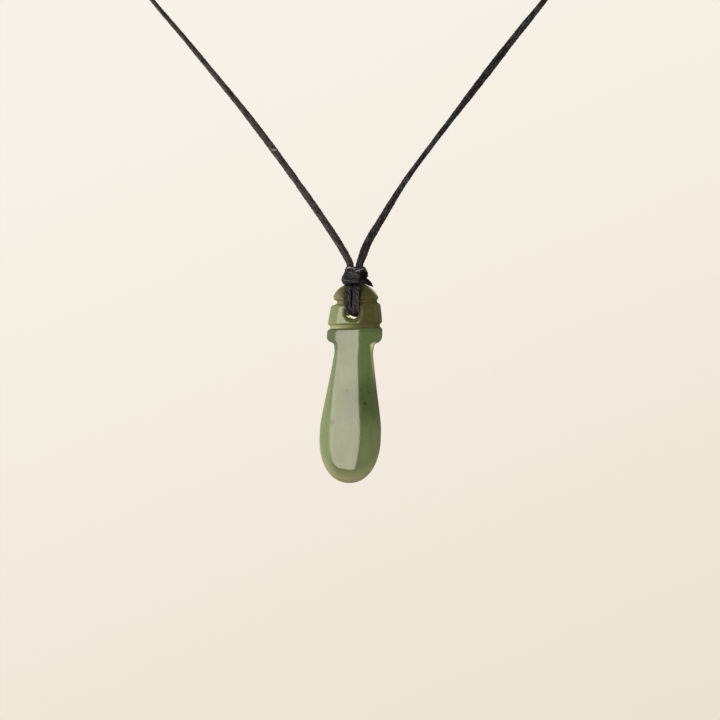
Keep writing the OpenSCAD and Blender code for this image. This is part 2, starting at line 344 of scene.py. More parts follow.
# Painted light: the handle's paler left, as lit from the left
HANDLE_PAINTED_LIGHT = srgb(126, 142, 88)
DOME_TINT = srgb(84, 82, 44)
GROOVE_PALE = srgb(196, 200, 162)
# Painted glow of light through the neck's thin right edge, brightest at its top
PAINTED_GLOW = srgb(212, 206, 164)
PAINTED_GLOW_TOP = srgb(246, 236, 208)
# Painted light on the bore's wall, as lit through the hole from behind
BORE_PAINTED_LIGHT = srgb(208, 212, 140)
# Painted light: the dome's paler left, as lit from the left
DOME_PAINTED_LIGHT = srgb(120, 118, 68)
# Painted highlight along the dome's right shoulder
DOME_PAINTED_HIGHLIGHT = srgb(222, 212, 184)
INCLUSION_DARK = srgb(34, 50, 22)
# Noise in the stone: how fine, how many octaves, how rough, how much each direction counts
STONE_WANDER = (160, 2)
STONE_CLOUD = (220, 4, 0.6, (1, 1, 0.45))
STONE_MARBLING = (520, 4, 0.62, (1, 1, 0.4))
STONE_GRAIN = (900, 5, 0.65)
STONE_STREAKS = (900, 2, 0.5, (1, 1, 0.06))
STONE_RIPPLE = (380, 2)
SPECK_SCALE = 330
# Roughness and specular level of the polished stone, then of the dull stone
STONE_ROUGHNESS = (0.07, 0.32)
STONE_SPECULAR = (0.5, 0.15)
# The blade's colour turns into the handle's between these levels, in mm from the hole
HANDLE_FOOT = (-4.2, -3.6)
# Grooves, less polished and paler, much paler at the left as painted light: lowest and highest
# level in mm from the hole, paleness
GROOVES = [(-4.0, -2.9, 0.7), (2.2, 3.1, 0.15)]
GROOVE_SLANT = 0.04
GROOVE_EDGE = 0.25
# The polish is dull over this much more below a groove and above it
DULL_BELOW = 0.4
DULL_ABOVE = 0.6
# The neck's right edge leans: how far it is from the stone's middle line at the hole's level,
# in mm, and how much nearer at each mm up
NECK_EDGE = 3.5
NECK_EDGE_LEAN = -0.13
# The dome's painted highlight lies past a slanted line: direction, place along it, softness
STRIP_ACROSS = (0.722, 0.0, 0.692)
STRIP_EDGE = float(np.dot(STRIP_ACROSS, from_hole(3.84, 0, 6.29)))
STRIP_FADE = 0.3 * MM


def stone_places(nodes):
    """Where a point of the stone lies, from the hole and from the stone's own middle line."""
    where = nodes.add("ShaderNodeTexCoord").outputs["Object"]
    away = nodes.split(nodes.vector("SUBTRACT", where, tuple(HOLE)))
    wander = nodes.minus(nodes.noise(where, *STONE_WANDER), 0.5)
    middle = nodes.plus(nodes.times(away["Z"], math.sin(LEAN)), STONE_OFFSET * MM)
    facing = nodes.split(nodes.add("ShaderNodeNewGeometry").outputs["Normal"])["Y"]
    return SimpleNamespace(
        where=where, depth=away["Y"], level=away["Z"],
        across=nodes.minus(away["X"], middle),
        # The level with a little wander, for soft borders between colours
        height=nodes.plus(away["Z"], nodes.times(wander, 1.6 * MM)),
        # The thin edges, which face sideways, where light is painted on
        edge=nodes.ramp(nodes.maths("ABSOLUTE", facing), 0.85, 0.3),
        cloud=nodes.noise(where, *STONE_CLOUD))


def blade_colour(nodes, at):
    """Green with a darker cloud, paler towards the foot, with painted light: paler at the left
    and at the thin edges, and a painted highlight patch.
    """
    marbling = nodes.noise(at.where, *STONE_MARBLING)
    lower_right = nodes.times(nodes.fade(at.height, -22, -35), nodes.fade(at.across, 1.4, 3))
    # Painted light at the foot's thin edges
    foot_edge = nodes.times(at.edge, nodes.fade(at.height, -30, -35))
    foot = nodes.times(nodes.near(at.where, (-0.6, -2, -30.8), 7.2, 10.9),
                       nodes.fade(at.height, -31, -34))
    flange_left = nodes.times(nodes.fade(at.height, -11, -8), nodes.fade(at.across, -1, -6))
    under_groove = nodes.fade(at.level, -5.8, -4.2)
    return nodes.layers(BLADE_GREEN, [
        (nodes.ramp(at.cloud, 0.65, 0.35), 0.28, BLADE_CLOUD),
        (lower_right, 0.8, BLADE_LOWER),
        # Painted light at the thin edges
        (at.edge, nodes.fade(at.height, -8, -15, 0.45, 0.6), EDGE_PAINTED_LIGHT),
        (nodes.near(at.where, (4.2, -1, -22), 8.6, 1.8), 0.86, BLADE_CLOUD),
        (nodes.ramp(marbling, 0.52, 0.68), 0.3, BLADE_CLOUD),
        (nodes.ramp(marbling, 0.46, 0.34), 0.25, BLADE_LOWER),
        # Painted light: paler towards the left, as lit from there
        (nodes.fade(at.across, -3, -6), nodes.fade(at.height, -10, -20, 0.3, 0.85), BLADE_PAINTED_LIGHT_AND_GRAIN),
        (foot_edge, 0.55, FOOT_PALE),
        (foot, 0.85, FOOT_PALE),
        # Painted highlight: paler where the soft box's reflection lies on the neck
        (nodes.near(at.where, (-2.2, -2.4, -15.5), 3.5, 1), 0.35, BLADE_PAINTED_LIGHT_AND_GRAIN),
        (flange_left, 0.9, BLADE_CLOUD),
        (under_groove, 0.5, BLADE_CLOUD)])


def handle_colour(nodes, at):
    """Olive, with painted light: paler at the left and at the thin edges, and a painted highlight
    along the dome's right shoulder.
    """
    painted_light_colour = nodes.mix(nodes.fade(at.height, 1.5, 3.5), HANDLE_PAINTED_LIGHT, DOME_PAINTED_LIGHT)
    below_top = nodes.fade(at.height, 6, 1, 0.6, 1)
    past = nodes.vector("DOT_PRODUCT", at.where, STRIP_ACROSS, "Value")
    painted_highlight = nodes.times(nodes.ramp(past, STRIP_EDGE, STRIP_EDGE + STRIP_FADE),
                        nodes.fade(at.level, 3.4, 3.9))
    return nodes.layers(HANDLE_OLIVE, [
        (nodes.ramp(at.cloud, 0.4, 0.7), 0.25, DOME_TINT),
        # Painted light: the handle and dome paler towards the left, as lit from there
        (nodes.fade(at.across, 2.5, -2, 0, 0.5), below_top, painted_light_colour),
        (nodes.fade(at.across, -3, -5.2), below_top, painted_light_colour),
        # Painted light at the thin edges
        (at.edge, 0.22, EDGE_PAINTED_LIGHT),
        (painted_highlight, 0.9, DOME_PAINTED_HIGHLIGHT)])


def neck_painted_glow(nodes, at):
    """Where the painted glow lies: light through the thin stone at the neck's right edge, towards
    the face.
    """
    edge = nodes.plus(nodes.times(at.level, NECK_EDGE_LEAN), NECK_EDGE * MM)
    glow = nodes.times(nodes.fade(nodes.minus(at.across, edge), -0.8, -0.3),
                       nodes.fade(at.level, -18.5, -11.5))
    glow = nodes.times(glow, nodes.fade(at.level, -7.6, -8))
    return nodes.times(glow, nodes.fade(at.depth, 1.6, -0.9))


def stone_marks(nodes, at):
    """Layers for the dark inclusions and specks, and the finest grain."""
    grain = nodes.noise(at.where, *STONE_GRAIN)
    streaks = nodes.noise(at.where, *STONE_STREAKS)
    cells = nodes.add("ShaderNodeTexVoronoi", {"Vector": at.where, "Scale": SPECK_SCALE})
    specks = nodes.times(nodes.ramp(cells.outputs["Distance"], 0.12, 0.04),
                         nodes.ramp(grain, 0.5, 0.6))
    inclusions = []
    for x, z, radius, strength in INCLUSIONS:
        spot = nodes.near(at.where, (x, INCLUSION_DEPTH, z), radius * 1.3, radius * 0.3)
        inclusions.append((spot, strength, INCLUSION_DARK))
    return inclusions + [
        (specks, 0.4, INCLUSION_DARK),
        (nodes.ramp(grain, 0.45, 0.75), 0.1, BLADE_PAINTED_LIGHT_AND_GRAIN),
        (nodes.ramp(streaks, 0.4, 0.7), 0.12, BLADE_CLOUD)]


def greenstone():
    """Polished translucent jade: green in the blade, olive in the handle, with inclusions."""
    nodes = Nodes(bpy.data.materials.new("greenstone"))
    at = stone_places(nodes)
    colour = nodes.mix(nodes.fade(at.level, *HANDLE_FOOT), blade_colour(nodes, at),
                       handle_colour(nodes, at))
    # The bore and its bevels are less polished, and so are the grooves
    dull = nodes.near(at.where, (0.2, 0, 0), 2.8, 2.55, (1, 0, 1))
    slanted = nodes.minus(at.level, nodes.times(at.across, GROOVE_SLANT))
    for low, high, paleness in GROOVES:
        inside = nodes.times(nodes.fade(slanted, low, low + GROOVE_EDGE),
                             nodes.fade(slanted, high, high - GROOVE_EDGE))
        # Painted light: the grooves' paleness fades towards the right, as lit from the left
        inside = nodes.times(inside, nodes.fade(at.across, 1, -5.5, 0.05, 1))
        colour = nodes.layers(colour, [(inside, paleness, GROOVE_PALE)])
        about = nodes.times(nodes.fade(slanted, low - DULL_BELOW, low),
                            nodes.fade(slanted, high + DULL_ABOVE, high))
        dull = nodes.maths("MAXIMUM", dull, about)
    # The bore's wall, where light is painted on as a pale colour
    bore_wall = nodes.near(at.where, (-1, 0.1, -1), 2.0, 1.5)
    colour = nodes.layers(colour, [
        # Painted glow at the neck's right edge, brightest at its top
        (neck_painted_glow(nodes, at), 0.9, PAINTED_GLOW),
        (nodes.near(at.where, (5.4, -1.3, -8.2), 1.3, 0.6), 0.9, PAINTED_GLOW_TOP),
        (bore_wall, 1.0, BORE_PAINTED_LIGHT)] + stone_marks(nodes, at))
    return nodes.finish({
        "Base Color": colour,
        "Normal": nodes.bump(nodes.noise(at.where, *STONE_RIPPLE), 0.05, 0.2),
        "IOR": 1.62, "Roughness": nodes.ramp(dull, 0, 1, *STONE_ROUGHNESS),
        "Specular IOR Level": nodes.ramp(dull, 0, 1, *STONE_SPECULAR),
        "Subsurface Weight": nodes.ramp(bore_wall, 0, 1, 0.35, 0),
        "Subsurface Radius": (0.9, 1.2, 0.5), "Subsurface Scale": 2.2 * MM})


CORD_DARK = srgb(8, 8, 9)
CORD_MIDDLE = srgb(36, 34, 37)
CORD_GREY = srgb(96, 95, 103)
CORD_LEFT_GREY = srgb(108, 98, 96)
CORD_SCUFF_AND_GLINT = srgb(176, 176, 180)
# A scuff on the cord, then painted highlights on the upper edges of the binding's turns, in mm
# from the hole: place and reach. All but the first lie on the binding
SCUFFS_AND_GLINTS = [(-19.9, 32.3, 41.95, 0.5),
          (-1.1, -1.9, 11.0, 0.3), (-0.6, -1.9, 11.15, 0.3), (0, -1.9, 11.1, 0.3),
          (0.6, -1.9, 10.85, 0.25), (0.9, -2.1, 10.1, 0.25), (1.5, -2.1, 10.3, 0.3),
          (2.1, -2.0, 10.55, 0.3), (2.7, -1.8, 10.65, 0.28), (3.6, -1.2, 10.3, 0.3)]
SCUFF_AND_GLINT_STRETCH = (0.5, 0.2, 1.6)
# Painted shade on the cord, darkest where light reaches least: place in mm from the hole, how
# much each direction counts, and how far off the shade begins and is full. It lies on the
# binding's right and free end, in the gap under the binding, in the gap between the doubled
# strands, and on the right strand's outer edge
PAINTED_SHADE_SPOTS = [((4.3, -2.4, 8.4), (1, 1, 1), 3.1, 2.0),
            ((0.1, -2.7, 6.85), (0.35, 0.3, 1.6), 1.0, 0.5),
            ((-0.1, -3.3, 4.2), (2.5, 0.3, 0.3), 1.0, 0.3),
            ((2.1, -3.3, 3.8), (1.6, 0.3, 0.3), 1.0, 0.3)]
# Turns that the fibres make round the cord in each mm, and how fast they change along it
FIBRE_TWIST = 0.03
FIBRE_PACE = 0.16
# Noise in the cord: how fine, how many octaves, how rough
CORD_STREAK = (2.6, 4, 0.62)
CORD_STRANDS = (7.0, 3, 0.55)
CORD_FIBRE = (2600, 4, 0.6)
CORD_PATCH = (420, 3, 0.6)


def waxed_cord():
    """Black waxed cord: long twisted fibres under a soft wax sheen, scuffed here and there, with
    painted highlights and painted shade.
    """
    nodes = Nodes(bpy.data.materials.new("waxed_cord"))
    where = nodes.add("ShaderNodeTexCoord").outputs["Object"]
    away = nodes.split(nodes.vector("SUBTRACT", where, tuple(HOLE)))
    # The share of a turn round the cord, and the mm along it
    on_cord = nodes.split(nodes.add("ShaderNodeUVMap", uv_map="along").outputs[0])
    # A place wound round the cord, so that the fibres close on themselves
    turn = nodes.plus(on_cord["X"], nodes.times(on_cord["Y"], FIBRE_TWIST))
    angle = nodes.times(turn, 2 * math.pi)
    wound = nodes.add("ShaderNodeCombineXYZ", {
        0: nodes.maths("COSINE", angle), 1: nodes.maths("SINE", angle),
        2: nodes.times(on_cord["Y"], FIBRE_PACE)}).outputs[0]
    streak = nodes.noise(wound, *CORD_STREAK)
    strands = nodes.noise(wound, *CORD_STRANDS)
    fibre = nodes.noise(where, *CORD_FIBRE)
    patch = nodes.noise(where, *CORD_PATCH)
    tone = nodes.plus(nodes.times(streak, 0.6), nodes.times(strands, 0.4))
    rubbed = nodes.times(nodes.ramp(patch, 0.58, 0.7), nodes.ramp(fibre, 0.45, 0.6))
    # The left half of the neck cord is greyer on its paler streaks
    left_half = nodes.times(nodes.fade(away["X"], 0.4, -0.6), nodes.fade(away["Z"], 11.4, 12.4))
    # Painted shade, darker where light reaches least
    painted_shade = 0.0
    for place, stretch, begins, full in PAINTED_SHADE_SPOTS:
        spot = nodes.near(where, place, begins, full, stretch)
        painted_shade = nodes.maths("MAXIMUM", painted_shade, spot)
    # A scuff, and painted highlights on the binding's top turns
    scuffs_and_glints = []
    for *place, reach in SCUFFS_AND_GLINTS:
        spot = nodes.near(where, place, reach, reach * 0.5, SCUFF_AND_GLINT_STRETCH)
        scuffs_and_glints.append((spot, nodes.ramp(fibre, 0.35, 0.5, 0.4, 1), CORD_SCUFF_AND_GLINT))
    colour = nodes.layers(CORD_DARK, [
        (nodes.ramp(tone, 0.36, 0.5), 1.0, CORD_MIDDLE),
        (nodes.ramp(tone, 0.5, 0.62), 1.0, CORD_GREY),
        (rubbed, 0.14, CORD_SCUFF_AND_GLINT),
        (left_half, nodes.ramp(tone, 0.44, 0.54, 0.08, 0.6), CORD_LEFT_GREY),
        (painted_shade, 0.85, CORD_DARK)] + scuffs_and_glints)
    height = nodes.plus(nodes.times(streak, 0.9), nodes.times(strands, 0.6))
    height = nodes.plus(height, nodes.times(fibre, 0.15))
    return nodes.finish({
        "Base Color": colour, "Normal": nodes.bump(height, 0.8, 0.22),
        # Less shine in the painted shade
        "Specular IOR Level": nodes.ramp(painted_shade, 0, 1, 0.26, 0.1),
        "Roughness": nodes.ramp(patch, 0.3, 0.7, 0.42, 0.6)})


FLOOR_SHADE = srgb(236, 229, 212)
FLOOR_LIGHT = srgb(243, 236, 222)


def floor_finish():
    """Pale matt paper, a little uneven in tone."""
    nodes = Nodes(bpy.data.materials.new("floor_finish"))
    patches = nodes.noise(nodes.add("ShaderNodeTexCoord").outputs["Object"], 1.5, 3)
    colour = nodes.mix(nodes.ramp(patches, 0.3, 0.7), FLOOR_SHADE, FLOOR_LIGHT)
    return nodes.finish({"Base Color": colour, "Roughness": 0.85})


STONE = greenstone()
CORD = waxed_cord()


def dress(thing, material, body, material_slot, *nodes):
    """Gives a piece its material, its body and the nodes that it stands for."""
    thing.data.materials.clear()
    thing.data.materials.append(material)
    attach(thing, body)
    if nodes:
        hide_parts(*nodes)
    return thing


# Camera

def make_camera():
    """The camera, level and with its lens unshifted."""
    data = bpy.data.cameras.new("camera")
    data.lens = CAMERA_LENS
    data.sensor_width = CAMERA_SENSOR
    data.clip_start = 0.05
    data.clip_end = 50
    camera = bpy.data.objects.new("camera", data)
    camera.location = CAMERA_AT
    camera.rotation_euler = (math.pi / 2, 0, 0)
    bpy.context.scene.collection.objects.link(camera)
    bpy.context.scene.camera = camera


make_camera()

# Neck cord's route in the solids, from the binding up its left side, round the nape and down
ROUTE = [
    (-0.00125, -0.137, -0.112), (-0.00125, -0.137, -0.11125), (-0.00325, -0.13225, -0.1075),
    (-0.0085, -0.123, -0.09925), (-0.015, -0.113, -0.08975), (-0.02175, -0.103, -0.08025),
    (-0.029, -0.093, -0.0705), (-0.03675, -0.083, -0.06075), (-0.04475, -0.073, -0.05075),
    (-0.054, -0.062, -0.0395), (-0.061, -0.052, -0.03), (-0.06475, -0.042, -0.022),
    (-0.064, -0.031, -0.015), (-0.0575, -0.02, -0.0085), (-0.047, -0.011, -0.004),
    (-0.034, -0.0045, -0.0015), (-0.0205, -0.001, -0.00025), (-0.006, 0.0, 0.0),
    (0.0, 0.0, 0.0),
    (0.006, 0.0, 0.0), (0.0205, -0.001, -0.00025), (0.034, -0.0045, -0.0015),
    (0.0465, -0.011, -0.004), (0.056, -0.02, -0.0085), (0.0615, -0.031, -0.015),
    (0.0615, -0.042, -0.022), (0.05725, -0.052, -0.03), (0.05025, -0.062, -0.0395),
    (0.0415, -0.073, -0.05075), (0.034, -0.083, -0.06075), (0.02675, -0.093, -0.0705),
    (0.0195, -0.103, -0.08025), (0.01275, -0.113, -0.08975), (0.007, -0.123, -0.09925),
    (0.0025, -0.13225, -0.1075), (0.00125, -0.137, -0.11125), (0.00125, -0.137, -0.112)]
# The flattened cord turns as it goes: height, and width seen from the front, on each side, mm
LEFT_SEEN = [(-111.5, 1.75), (-107.6, 1.8), (-104.7, 1.87), (-99, 1.78), (-93.6, 1.88),
             (-90.6, 1.65), (-87.7, 1.85), (-84.7, 1.72), (-81.7, 1.88), (-78.8, 1.76),
             (-73.3, 1.8), (-70, 1.64), (-66.7, 1.62), (-60.9, 1.48), (-57, 1.45), (-54, 1.42),
             (-49, 1.28), (-46.4, 1.33), (-39.5, 1.17), (-25, 1.6), (0, 1.45)]
RIGHT_SEEN = [(-111.5, 1.85), (-108.5, 2.1), (-104.7, 1.98), (-99, 1.86), (-92.7, 1.6),
              (-89, 1.47), (-86.3, 1.36), (-79, 1.38), (-75.8, 1.46), (-72.8, 1.45), (-70, 1.66),
              (-66.7, 1.82), (-60, 2.06), (-56.6, 2.06), (-53.2, 1.93), (-46.4, 1.84),
              (-39.5, 1.58), (-25, 1.6), (0, 1.45)]
NECK_WIDTH = 2.1
NECK_THICK = 1.04
# It is a little uneven: by this share of its size, over about this length in mm
NECK_VARIES = 0.08
NECK_VARIES_OVER = 1.8
# Steps between two points of the route, then the spacing in mm of the mesh's rows and of the
# line that gives the cord's length
NECK_SPAN_STEPS = 12
NECK_STEP = 0.6
# The same cord's ends as they run on into the binding
LEFT_END = [(-0.001, -0.1372, -0.1136), (-0.00125, -0.1369, -0.1115), (-0.0021, -0.1349, -0.1096)]
RIGHT_END = [(0.0018, -0.1349, -0.1096), (0.00115, -0.1369, -0.1115), (0.0009, -0.1372, -0.1136)]


def in_view(place, along):
    """The direction across the cord that the camera sees whole."""
    return np.cross(along, (0.0, 1.0, 0.0))


def neck_cord_rows():
    """Rows of the neck cord, rolled so that its seen width follows the tables."""
    rows = []
    line = evenly(smooth(LEFT_END + ROUTE[2:-2] + RIGHT_END, NECK_SPAN_STEPS), NECK_STEP * MM)
    for i, place in enumerate(line):
        table = LEFT_SEEN if i < len(line) / 2 else RIGHT_SEEN
        heights, widths = zip(*table)
        seen = np.interp(place[2] / MM, heights, widths)
        share = (seen**2 - NECK_THICK**2) / (NECK_WIDTH**2 - NECK_THICK**2)
        roll = math.acos(math.sqrt(min(1, max(0, share))))
        size = 1 + NECK_VARIES * noise.noise(Vector(place) / (NECK_VARIES_OVER * MM))
        rows.append([*place, NECK_WIDTH / 2 * MM * size, NECK_THICK / 2 * MM * size, roll])
    return rows


neck_cord = strand("neck_loop_cord", neck_cord_rows(), in_view, sides=20)
dress(neck_cord, CORD, "cord", "waxed_cord", "neck_cord")

# Doubled strands through the hole, down the front and in as far as its middle: place from the
# hole, half width, half thickness, in mm
LEFT_STRAND = [(-0.3, -1.3, 9.6, 0.7, 0.55), (-0.45, -1.95, 7.5, 0.7, 0.57),
               (-0.7, -2.5, 6.2, 0.86, 0.57), (-1.02, -3.2, 4.8, 1.04, 0.57),
               (-1.14, -3.62, 3.5, 1.08, 0.58), (-1.12, -3.5, 2.4, 1.06, 0.58),
               (-1.0, -3.15, 1.6, 0.99, 0.58), (-0.78, -2.78, 0.9, 0.88, 0.6),
               (-0.35, -2.45, 0.25, 0.8, 0.6), (0.15, -2.05, -0.25, 0.76, 0.56),
               (0.5, -1.5, -0.48, 0.74, 0.52), (0.64, -0.8, -0.56, 0.72, 0.52),
               (0.75, 0, -0.58, 0.72, 0.52)]
RIGHT_STRAND = [(1.1, -1.3, 9.6, 0.9, 0.55), (1.2, -1.95, 7.5, 0.95, 0.57),
                (1.12, -2.5, 6.2, 1.05, 0.57), (1.05, -3.2, 4.8, 1.08, 0.57),
                (0.98, -3.62, 3.4, 1.08, 0.58), (1.0, -3.43, 2.2, 1.03, 0.58),
                (1.03, -3.0, 1.2, 0.95, 0.58), (1.02, -2.6, 0.4, 0.86, 0.58),
                (0.95, -2.15, 0.02, 0.76, 0.6), (0.85, -1.5, 0.05, 0.7, 0.6),
                (0.78, -0.8, 0.2, 0.68, 0.58), (0.82, 0, 0.3, 0.68, 0.55)]
# The bore runs a little to the right, and so do the strands behind
BACK_SHIFT = 0.42
STRAND_STEP = 0.25


def hanging_strand(front, name, node):
    """One doubled strand: down the front, through the hole and up the back."""
    back = [(x + BACK_SHIFT, -y, z, w, t) for x, y, z, w, t in reversed(front[:-1])]
    rows = [[*from_hole(*row[:3]), row[3] * MM, row[4] * MM, 0.0]
            for row in evenly(smooth(front + back, steps=6), STRAND_STEP)]
    thing = strand(name, rows, (1, 0, 0), sides=24, plies=5, ply_depth=0.03, ply_pitch=14 * MM)
    return dress(thing, CORD, "cord", "waxed_cord", node)


hanging_left = hanging_strand(LEFT_STRAND, "doubled_strand_left", "hanging_strand_left")
hanging_right = hanging_strand(RIGHT_STRAND, "doubled_strand_right", "hanging_strand_right")

# Binding: share of its height, middle, half width, half depth, in mm
BINDING_ROWS = [(0, -0.25, 2.35, 2.2), (0.2, -0.35, 2.75, 2.4), (0.31, -0.2, 2.75, 2.4),
                (0.48, 0.15, 2.68, 2.25), (0.77, 0.2, 2.45, 1.9), (0.9, 0.1, 1.95, 1.6),
                (1, 0, 1.6, 1.4)]
# How full the binding's section is, where an ellipse has 2
BINDING_FULLNESS = 2 / 0.85
# What shows between the turns: its foot and rise as shares of the height, and how far it lies in
CORE_FOOT = 0.29
CORE_RISE = 0.67
CORE_INSET = 0.25
CORE_ROWS = 12
CORE_SIDES = 40
CORE_FIBRE_STEP = 0.3
# The turns: where they start in degrees, and their foot and rise as shares of the height
BINDING_TURNS = 6
TURN_STEPS = 64
TURNS_START = 200
TURNS_FOOT = 0.08
TURNS_RISE = 0.86
TURNS_STAND = 0.08
# They lean, by this share of the height, and are highest at this angle in radians
TURNS_LEAN = 0.035
TURNS_LEAN_AT = 0.6
# How uneven they are: by how much, how fast to a turn, and a place in the noise
UNEVEN_HEIGHT = (0.028, 0.9, (0.3, 4.2))
UNEVEN_STAND = (0.12, 1.7, (5.1, 0.4))
UNEVEN_WIDTH = (0.15, 1.3, (2.2, 7.7))
# The lowest turns rise over the stone's crown at their sides: by how much of the height, and
# over how many turns
ARCH_RISE = 0.19
ARCH_TURNS = 3
WRAP_HALF_W = 0.34
WRAP_HALF_T = 0.3
WRAP_STEP = 0.12


def binding_at(share):
    """Middle, half width and half depth of the binding at a share of its height."""
    shares, *columns = zip(*BINDING_ROWS)
    return [np.interp(share, shares, column) for column in columns]


def on_binding(degrees, share, stand=0.0):
    """A point on the binding's side: angle from +X towards +Y, share of its height, and how
    far it stands out, in mm."""
    middle, half_w, half_d = binding_at(min(1, max(0, share)))
    angle = math.radians(degrees)
    place = np.array([middle + (half_w + stand) * bent(math.cos(angle), BINDING_FULLNESS),
                      (half_d + stand) * bent(math.sin(angle), BINDING_FULLNESS),
                      (share - 1) * BINDING_H])
    return BINDING_TOP + place * MM


def upright(place, along):
    """The width of a wrap lies up and down."""
    return np.array([0.0, 0.0, 1.0])


def over_binding(place, along):
    """The width of a crossing wrap lies on the binding's side, across the wrap."""
    out = place - BINDING_TOP
    return unit(np.cross(along, unit(np.array([out[0], out[1], 0.0]))))


def join(things, name):
    """One mesh from several."""
    bpy.ops.object.select_all(action="DESELECT")
    for thing in things:
        thing.select_set(True)
    bpy.context.view_layer.objects.active = things[0]
    bpy.ops.object.join()
    things[0].name = name
    return things[0]


# Wraps that cross the others: half width in mm, then rows of angle, share of height and stand
CROSSINGS = [
    (0.42, [(150, 0.8, 0.0), (190, 0.88, 0.2), (225, 0.9, 0.3), (250, 0.84, 0.35),
            (275, 0.72, 0.35), (300, 0.6, 0.3), (330, 0.48, 0.2), (370, 0.4, 0.0)]),
    (0.42, [(150, 0.36, 0.0), (180, 0.27, 0.1), (205, 0.06, 0.15), (228, -0.02, 0.15),
            (250, 0.06, 0.2), (275, 0.12, 0.2), (300, 0.2, 0.1), (330, 0.3, 0.0)]),
    (0.42, [(245, 0.66, 0.0), (262, 0.76, 0.2), (285, 0.86, 0.25), (315, 0.9, 0.25),
            (350, 0.86, 0.15), (30, 0.8, 0.0)]),
    (0.5, [(240, 0.95, 0.0), (226, 0.82, 0.3), (216, 0.62, 0.42), (214, 0.42, 0.48),
           (224, 0.25, 0.5), (243, 0.15, 0.5), (266, 0.13, 0.5), (288, 0.18, 0.35),
           (305, 0.3, 0.1)]),
    (0.75, [(240, 0.74, 0.1), (258, 0.62, 0.42), (276, 0.46, 0.5), (292, 0.32, 0.4),
            (308, 0.22, 0.1)]),
    (0.4, [(205, 0.62, 0.0), (214, 0.5, 0.35), (222, 0.34, 0.42), (228, 0.18, 0.35),
           (232, 0.02, 0.1)]),
    (0.26, [(295, 0.72, 0.1), (318, 0.68, 0.35), (340, 0.62, 0.35), (350, 0.6, 0.25)]),
    (0.26, [(295, 0.54, 0.1), (318, 0.5, 0.35), (340, 0.46, 0.35), (350, 0.45, 0.25)]),
    (0.3, [(170, 0.5, 0.0), (185, 0.42, 0.25), (200, 0.36, 0.3), (215, 0.33, 0.1)]),
]


def binding_core():
    """What shows between the wraps: the gathered strands."""
    rings = []
    for k in range(CORE_ROWS + 1):
        share = CORE_FOOT + CORE_RISE * k / CORE_ROWS
        rings.append([on_binding(360 * i / CORE_SIDES, share, -CORE_INSET)
                      for i in range(CORE_SIDES)])
    lengths = [k * CORE_FIBRE_STEP for k in range(CORE_ROWS + 1)]
    return outward(loft("binding_core", rings, lengths))


def uneven(turn, much, pace, place):
    """A small change that wanders as the turns go on."""
    return much * noise.noise(Vector((turn * pace, *place)))


def binding_wraps():
    """The turns of the whipping, a little uneven, as one long cord."""
    rows = []
    for k in range(BINDING_TURNS * TURN_STEPS + 1):
        turn = k / TURN_STEPS
        degrees = TURNS_START + 360 * turn
        angle = math.radians(degrees)
        arch = ARCH_RISE * max(0, 1 - turn / ARCH_TURNS) * math.cos(angle) ** 2
        share = TURNS_FOOT + TURNS_RISE * turn / BINDING_TURNS + arch
        share += TURNS_LEAN * math.cos(angle - TURNS_LEAN_AT) + uneven(turn, *UNEVEN_HEIGHT)
        place = on_binding(degrees, share, TURNS_STAND + uneven(turn, *UNEVEN_STAND))
        half_w = WRAP_HALF_W * (1 + uneven(turn, *UNEVEN_WIDTH))
        rows.append([*place, half_w * MM, WRAP_HALF_T * MM, 0.0])
    return strand("binding_wraps", rows, upright, sides=12, plies=4, ply_depth=0.04,
                  ply_pitch=3 * MM)


def crossing(half_w, rows):
    """A wrap over the others, through rows of angle, share of height and stand."""
    # Angles that go on past a full turn
    turns = [rows[0][0]]
    for row in rows[1:]:
        turns.append(row[0] + 360 if row[0] < turns[-1] - 180 else row[0])
    places = [on_binding(turn, row[1], row[2]) for turn, row in zip(turns, rows)]
    made = [[*place, half_w * MM, WRAP_HALF_T * MM, 0.0]
            for place in evenly(smooth(places, steps=8), WRAP_STEP * MM)]
    return strand("crossing", made, over_binding, sides=16, plies=4, ply_depth=0.05,
                  ply_pitch=3 * MM)


binding = join([binding_wraps(), binding_core()] + [crossing(*row) for row in CROSSINGS],
               "bound_knot")
dress(binding, CORD, "cord", "waxed_cord", "binding")

# Cut end of the binding's cord: place from the hole, half width, half thickness, in mm, and
# the direction in which its width lies
TAIL_ROWS = [(2.2, -2.6, 8.0, 0.85, 0.36), (2.97, -2.8, 7.85, 0.85, 0.4),
             (3.5, -2.78, 7.65, 0.8, 0.4), (4.08, -2.65, 7.3, 0.72, 0.38),
             (4.6, -2.5, 6.9, 0.48, 0.3), (5.0, -2.4, 6.55, 0.22, 0.2),
             (5.3, -2.35, 6.3, 0.06, 0.08)]
TAIL_ACROSS = (0.5, 0.45, 0.74)


def cut_end():
    """The flat end of the binding's cord, which narrows to where it was cut."""
    rows = [[*from_hole(*row[:3]), row[3] * MM, row[4] * MM, 0.0]
            for row in evenly(smooth(TAIL_ROWS, steps=8), WRAP_STEP)]
    return strand("cut_end", rows, TAIL_ACROSS, sides=16, plies=4, ply_depth=0.05,
                  ply_pitch=6 * MM)


tail = dress(cut_end(), CORD, "cord", "waxed_cord", "binding_tail")

# Sliding knot at the nape
NAPE_LENGTH = 11.0
NAPE_RADIUS = 1.95
NAPE_TURNS = 7
NAPE_STEPS = 48
NAPE_HALF_W = 0.72
NAPE_FLATNESS = 0.72
# Share of its half width by which the wrap's middle lies inside the knot's radius
NAPE_SINK = 0.35
# Both ends are tucked in by this many mm, over one part in so many of the knot's length
NAPE_TUCK = 1.0
NAPE_TUCK_PARTS = 12


